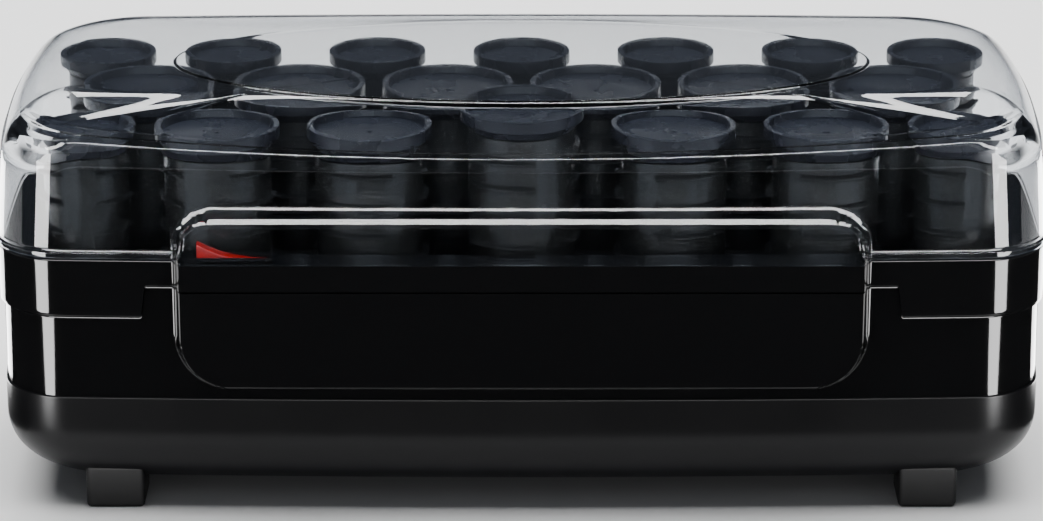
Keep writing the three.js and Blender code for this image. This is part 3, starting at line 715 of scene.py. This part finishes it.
def make_cap(radius, barrel_radius, top):
    """A cap whose rim ends at top, over the origin."""
    rim_low = top - CAP_RIM
    cap = cylinder("cap", (0, 0, (top + rim_low) / 2 * MM), radius * MM, CAP_RIM * MM, "Z", SEGMENTS)
    select_faces(cap, lambda centre, normal: normal.z > 0.9)
    open_edit()
    bpy.ops.mesh.inset(thickness=CAP_EDGE * MM)
    bpy.ops.mesh.inset(thickness=0.8 * MM, depth=-CAP_DISH * MM)
    bpy.ops.mesh.inset(thickness=(radius - CAP_EDGE - 2.2) * MM, depth=-0.25 * MM)
    bpy.ops.mesh.inset(thickness=0.35 * MM, depth=0.35 * MM)
    close_edit()
    select_faces(cap, lambda centre, normal: normal.z < -0.9)
    open_edit()
    bpy.ops.mesh.inset(thickness=0.7 * MM)
    bpy.ops.mesh.inset(thickness=(radius - barrel_radius - 0.9) * MM, depth=CAP_TAPER * MM)
    close_edit()
    edge = cap.modifiers.new("edge", "BEVEL")
    edge.width, edge.segments, edge.angle_limit = 0.35 * MM, 2, math.radians(25)
    apply_modifiers(cap)
    bpy.ops.object.shade_smooth_by_angle(angle=math.radians(30))
    return cap


def place_copy(model, name, spot, turn):
    """A copy of a model with its own mesh, turned about its axis and moved to its spot."""
    bpy.ops.object.select_all(action="DESELECT")
    copy = model.copy()
    copy.data = model.data.copy()
    copy.name = name
    bpy.context.collection.objects.link(copy)
    copy.location = spot
    copy.rotation_euler = (0, 0, turn)
    copy.select_set(True)
    bpy.context.view_layer.objects.active = copy
    bpy.ops.object.transform_apply(location=True, rotation=True, scale=True)
    return copy


TURNS = {  # degrees from the front to the middle of a group of ribs
    "roller_front_1": 52,
    "roller_front_2": 50,
    "roller_front_3": -14,
    "roller_front_4": -26,
    "roller_front_5": 15,
    "roller_front_6": 5,
    "roller_front_7": -29,
}
models = {}
for body_name in frame["bodies"]:
    if not body_name.startswith("roller"):
        continue
    barrel_low, barrel_high = (np.array(corner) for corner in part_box(f"{body_name}_barrel"))
    cap_low, cap_high = (np.array(corner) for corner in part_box(f"{body_name}_cap"))
    cap_radius = round((cap_high[0] - cap_low[0]) / 2 / MM, 1)
    if cap_radius not in models:
        barrel_radius = round((barrel_high[0] - barrel_low[0]) / 2 / MM, 1)
        cap_top = (cap_high[2] - barrel_low[2]) / MM
        barrel_top = (barrel_high[2] - barrel_low[2]) / MM
        barrel_model = make_barrel(barrel_radius, barrel_top)
        models[cap_radius] = (barrel_model, make_cap(cap_radius, barrel_radius, cap_top))
    spot = ((cap_low[0] + cap_high[0]) / 2, (cap_low[1] + cap_high[1]) / 2, barrel_low[2])
    turn = math.radians(TURNS.get(body_name, random.uniform(0, 120)) - 90 - 180 * RIB_GROUP / SEGMENTS)
    barrel_model, cap_model = models[cap_radius]
    barrel = place_copy(barrel_model, f"{body_name}_ribbed", spot, turn)
    finish(barrel, barrel_nylon, "roller_barrel", body_name, f"{body_name}_barrel")
    cap = place_copy(cap_model, f"{body_name}_top", spot, turn)
    finish(cap, cap_plastic, "roller_cap", body_name, f"{body_name}_cap")
for barrel_model, cap_model in models.values():
    bpy.data.objects.remove(barrel_model)
    bpy.data.objects.remove(cap_model)

# ---------------------------------------------------------------- lid
# One clear moulding of styrene-acrylonitrile. Where it is seen at a grazing angle its colour turns to a
# painted blue-grey, standing in for the reflection and shade along its edges. A ledge runs round its
# front under the shoulder, the raised panel goes on up from the case, and an oval is embossed in its top.

LID_WALL = 1.6
LID_LOW = BEZEL_TOP + 0.3
LID_TOP = 140.0
LID_CROWN = 1.0
LEDGE_RISE = 2.7e-4  # the ledge climbs by this times X squared
OVAL = (116.0, 50.0, -9.5)  # half length, half width, and how far its middle is from the case's
OVAL_RISE = 0.45
OVAL_SPREAD = (145.0, 55.0)  # how the top's outer edge is matched to points on the oval
LID_DRAFT = 1.5
SIDE_ROUND = 24.0  # how far the shoulder reaches in over the sides, and over the rear
REAR_ROUND = 20.0
SHOULDER_Z = 117.0

clear_san, tree, shader, place = material("clear SAN, polished")
shader.inputs["Transmission Weight"].default_value = 1.0
shader.inputs["IOR"].default_value = 1.5
facing = add_node(tree, "ShaderNodeLayerWeight", Blend=0.35)
# Painted reflection and shade: near white where the lid faces the camera, blue-grey where it is seen at a
# grazing angle.
painted_grazing_shade = add_node(tree, "ShaderNodeValToRGB", [(facing.outputs["Facing"], "Fac")])
painted_grazing_shade.color_ramp.elements[0].color = linear("#f7f9fb")
painted_grazing_shade.color_ramp.elements[0].position = 0.62
painted_grazing_shade.color_ramp.elements[1].color = linear("#a3b2c8")
tree.links.new(painted_grazing_shade.outputs[0], shader.inputs["Base Color"])
scuff = add_node(tree, "ShaderNodeTexNoise", [(place, "Vector")], Scale=160.0, Detail=5.0)
rough = add_node(tree, "ShaderNodeMapRange", [(scuff.outputs[0], 0)], To_Min=0.0, To_Max=0.03)
tree.links.new(rough.outputs[0], shader.inputs["Roughness"])
# Lamps reach what is inside through it.
path = add_node(tree, "ShaderNodeLightPath")
passing = add_node(tree, "ShaderNodeBsdfTransparent", Color=linear("#dfe6ee"))
blend = add_node(
    tree,
    "ShaderNodeMixShader",
    [(path.outputs["Is Shadow Ray"], 0), (shader.outputs[0], 1), (passing.outputs[0], 2)],
)
tree.links.new(blend.outputs[0], tree.nodes["Material Output"].inputs["Surface"])

count = len(outline(CASE_SIDE, CASE_FACE, CASE_FACE))
front_count = len(front_lines(100.0)) - 2  # the same for every ring
front_share = np.zeros(count)
front_share[:front_count] = 1
fade = smooth(1.6 - 1.6 * np.linspace(0, 1, ARC_POINTS))
front_share[front_count : front_count + ARC_POINTS] = fade
front_share[count - ARC_POINTS :] = fade[::-1]

# Levels up the wall: close together at the bead round its foot and at the panel's top edge.
wall_levels = np.array([0, 0.25, 0.6, 1.2, 1.9, 2.15, 2.2, 2.36, 2.42, 3.6]) + LID_LOW
band_levels = PANEL_HIGH + np.array([-2.2, -1.95, -1.8, -1, -0.2, -0.1, 0.1, 0.2, 1, 1.8, 1.95, 2.3])
wall_levels = np.concatenate([wall_levels, np.arange(95.5, 103.7, 0.5), band_levels])
wall_levels = np.concatenate([wall_levels, [109, 109.5, 111.5, 114, 117]])
BEAD = np.array([0.1, 0.42, 0.6, 0.6, 0.6, 0.6, 0.57, 0.03, 0, 0])


def lid_profiles(wall):
    """Insets for the front, side and rear, and heights for the front and the rest, from the rim up."""
    draft = LID_DRAFT * (wall_levels - LID_LOW) / (SHOULDER_Z - LID_LOW) + wall
    if wall == 0:
        draft[: len(BEAD)] -= BEAD
    high = LID_TOP - wall - SHOULDER_Z
    turns = [[12, 24, 34, 42], np.linspace(44, 50, 7), [51, 52, 54], np.linspace(56, 90, 16)]
    a = np.radians(np.concatenate(turns))
    side = np.append(draft, LID_DRAFT + SIDE_ROUND - (SIDE_ROUND - wall) * np.cos(a))
    rear = np.append(draft, LID_DRAFT + REAR_ROUND - (REAR_ROUND - wall) * np.cos(a))
    rest_z = np.append(wall_levels, SHOULDER_Z + high * np.sin(a))
    if wall == 0:
        # Insets and heights from the shoulder up over the ledge: a riser, a level tread, a second riser.
        up = [(1.6, 121.5), (1.66, 123.9), (1.7, 124.3), (1.75, 124.45), (2.05, 125.65), (2.1, 125.8)]
        up += [(2.2, 125.85), (3.3, 125.9), (3.4, 125.95), (3.45, 126.1), (3.75, 127.3)]
        up += [(3.8, 127.45), (3.9, 127.6), (4.0, 127.8)]
    else:
        up = [(LID_DRAFT + wall + 2.4 * smooth((z - 119) / 9), z) for z in np.linspace(118.4, 127, 14)]
    foot_d, foot_z = up[-1]
    t = np.linspace(0, 1, 17)[1:]
    front = np.append(draft, [d for d, _ in up] + list(foot_d + 7 * t))
    front_z = np.append(wall_levels, [z for _, z in up] + list(foot_z + (LID_TOP - wall - foot_z) * t))
    return front, side, rear, front_z, rest_z, len(draft) + len(up) - 1


def lid_rings(wall):
    """The lid's outer skin, or the one that is a wall inside it, from the rim to the middle of the top."""
    front, side, rear, front_z, rest_z, foot = lid_profiles(wall)
    made = []
    for k in range(len(side)):
        p = outline(CASE_SIDE - side[k], CASE_FACE - front[k], CASE_FACE - rear[k], CORNER - 0.9 * wall)
        share = front_share if k <= foot else 0
        above = np.clip((front_z[k] - SHOULDER_Z) / 8, 0, 1)
        lift = LEDGE_RISE * np.minimum(np.abs(p[:, 0]), 165) ** 2 * above
        z = rest_z[k] + (front_z[k] + lift - rest_z[k]) * share
        if front_z[k] < 110:
            p = raise_panel(p, z, 0.9 * wall, wall)
        made.append(ring(p, z))
    edge = made[-1][:, :2]
    a = np.arctan2((edge[:, 1] - OVAL[2]) / OVAL_SPREAD[1], edge[:, 0] / OVAL_SPREAD[0])

    def oval(grow):
        x = (OVAL[0] + grow) * np.cos(a)
        return np.column_stack([x, (OVAL[1] + grow) * np.sin(a) + OVAL[2]])

    top = LID_TOP - wall
    for t in np.linspace(0, 1, 9)[1:]:
        p = edge + (oval(1.2) - edge) * t
        made.append(ring(p, top + LID_CROWN * 0.5 * smooth(t)))
    # From the ledge the front goes up to the oval in one full curve.
    start, end = made[foot], made[-1]
    share = front_share[:, None]
    for j in range(foot + 1, len(made)):
        t = (j - foot) / (len(made) - 1 - foot)
        curve = start + (end - start) * t
        curve[:, 2] = start[:, 2] + (end[:, 2] - start[:, 2]) * (1 - (1 - t) ** 1.45)
        made[j] = made[j] + (curve - made[j]) * share
    step = 0 if wall else OVAL_RISE
    for grow, share in ((0.8, 0), (0.3, 0), (0.22, 0.06), (-0.22, 0.94), (-0.3, 1), (-0.8, 1)):
        made.append(ring(oval(grow), top + LID_CROWN * 0.5 + step * share))
    for t in (0.97, 0.9, 0.75, 0.5, 0.3, 0.12):
        p = [0, OVAL[2]] + (oval(0) - [0, OVAL[2]]) * t
        made.append(ring(p, top + step + LID_CROWN * (0.5 + 0.5 * (1 - t * t))))
    return made


lid = skin("lid", lid_rings(0)[::-1] + lid_rings(LID_WALL), 40)
finish(lid, clear_san, "clear_lid", "lid", "lid_shell")
for side in ("left", "right"):
    low, high = (np.array(corner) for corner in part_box(f"hinge_pin_{side}"))
    centre = (low + high) / 2
    half = (high[0] - low[0]) / 2 - EAR * MM - 0.0004
    knuckle = cylinder("knuckle", centre, KNUCKLE_RADIUS * MM, 2 * half, "X", 48)
    web = block(
        "web",
        (centre[0] - half, centre[1] - 0.0055, centre[2] + 0.0003),
        (centre[0] + half, centre[1], centre[2] + KNUCKLE_RADIUS * MM),
        0,
    )
    knuckle = join(f"knuckle_{side}", knuckle, web)
    bore = cylinder("bore", centre, (high[2] - low[2]) / 2 + 0.0004, 0.03, "X", 32)
    cut_out(knuckle, bore)
    finish(knuckle, clear_san, "clear_lid", "lid")

# ---------------------------------------------------------------- studio
# A pale floor, soft light from above, a low strip in front and a box behind. Black flags and bright
# patches lie just over the floor and are seen only in reflections, or through the lid.

bpy.ops.object.select_all(action="DESELECT")
bpy.ops.mesh.primitive_plane_add(size=8, location=(0, 0, 0))
floor = bpy.context.object
floor.name = "floor"
floor_paint, tree, shader, place = material("white paper floor")
shader.inputs["Base Color"].default_value = linear("#f4f4f4")
shader.inputs["Roughness"].default_value = 0.9
floor.data.materials.append(floor_paint)

FLAG_Z = 0.002
GLOW_Z = 0.003

flag_cloth, tree, shader, place = material("black flag")
shader.inputs["Base Color"].default_value = linear("#050505")
shader.inputs["Roughness"].default_value = 1.0
shader.inputs["Specular IOR Level"].default_value = 0.0
for name, centre, width, depth in (
    ("front flag", (0, -0.6075), 2.0, 0.985),
    ("left flag", (-0.6, 0.21), 0.8, 0.65),
    ("right flag", (0.6, 0.21), 0.8, 0.65),
):
    bpy.ops.mesh.primitive_plane_add(size=1, location=(*centre, FLAG_Z))
    flag = bpy.context.object
    flag.name = name
    flag.scale = (width, depth, 1)
    flag.data.materials.append(flag_cloth)
    flag.visible_camera = flag.visible_diffuse = flag.visible_shadow = False
    flag.visible_transmission = name == "front flag"


def softbox(name, place_at, target, width, height, power, only_gloss=False):
    """A rectangular lamp that faces a point."""
    lamp = bpy.data.lights.new(name, "AREA")
    lamp.shape, lamp.size, lamp.size_y, lamp.energy = "RECTANGLE", width, height, power
    made = bpy.data.objects.new(name, lamp)
    bpy.context.collection.objects.link(made)
    made.location = place_at
    aim = np.array(target) - np.array(place_at)
    flat = math.hypot(aim[0], aim[1])
    made.rotation_euler = (math.atan2(flat, -aim[2]), 0, math.atan2(-aim[0], aim[1]))
    made.visible_camera = False
    made.visible_diffuse = not only_gloss
    return made


sky = softbox("sky", (0, 0.2, 1.6), (0, 0, 0), 2.4, 2.0, 85)
sky.visible_glossy = sky.visible_transmission = False
front = softbox("front", (0, -1.255, 0.34), (0, -0.075, 0.12), 2.4, 0.21, 42, only_gloss=True)
rear = softbox("rear", (0, 1.05, 1.15), (0, 0, 0.1), 0.8, 0.25, 9)
front.visible_transmission = rear.visible_transmission = False


def side_glow(name, origin, turns, reaches, strength):
    """A bright patch over the floor on each side, between turns in degrees from the front and reaches
    in metres from its origin, that is seen only in reflections."""
    glow, tree, shader, place = material(name)
    tree.nodes.remove(shader)
    light = add_node(tree, "ShaderNodeEmission", Color=linear("#ffffff"), Strength=strength)
    tree.links.new(light.outputs[0], tree.nodes["Material Output"].inputs["Surface"])
    for side in (-1, 1):
        bpy.ops.mesh.primitive_plane_add(size=1)
        patch = bpy.context.object
        patch.name = name
        for vertex, turn, reach in zip(patch.data.vertices, turns, np.repeat(reaches, 2)):
            a = math.radians(turn)
            x, y = origin[0] + reach * math.sin(a), origin[1] - reach * math.cos(a)
            vertex.co = (side * x, y, GLOW_Z)
        patch.data.materials.append(glow)
        patch.visible_camera = patch.visible_diffuse = False
        patch.visible_transmission = patch.visible_shadow = False


side_glow("corner glow", (0.162, -0.058), (31, 47, 30, 54), (0.09, 0.8), 28.0)
side_glow("edge glow", (0.113, -0.073), (124, 146, 124, 146), (0.17, 0.6), 18.0)

world = bpy.data.worlds.new("studio")
bpy.context.scene.world = world
world.use_nodes = True
world.node_tree.nodes["Background"].inputs["Color"].default_value = linear("#cfdaec")
world.node_tree.nodes["Background"].inputs["Strength"].default_value = 0.07

camera = bpy.data.objects.new("camera", bpy.data.cameras.new("camera"))
bpy.context.collection.objects.link(camera)
camera.location = (0, -1.3915, 0.530)
camera.rotation_euler = (math.radians(71.59), 0, 0)
camera.data.sensor_width = 36
camera.data.lens = 147.97
bpy.context.scene.camera = camera
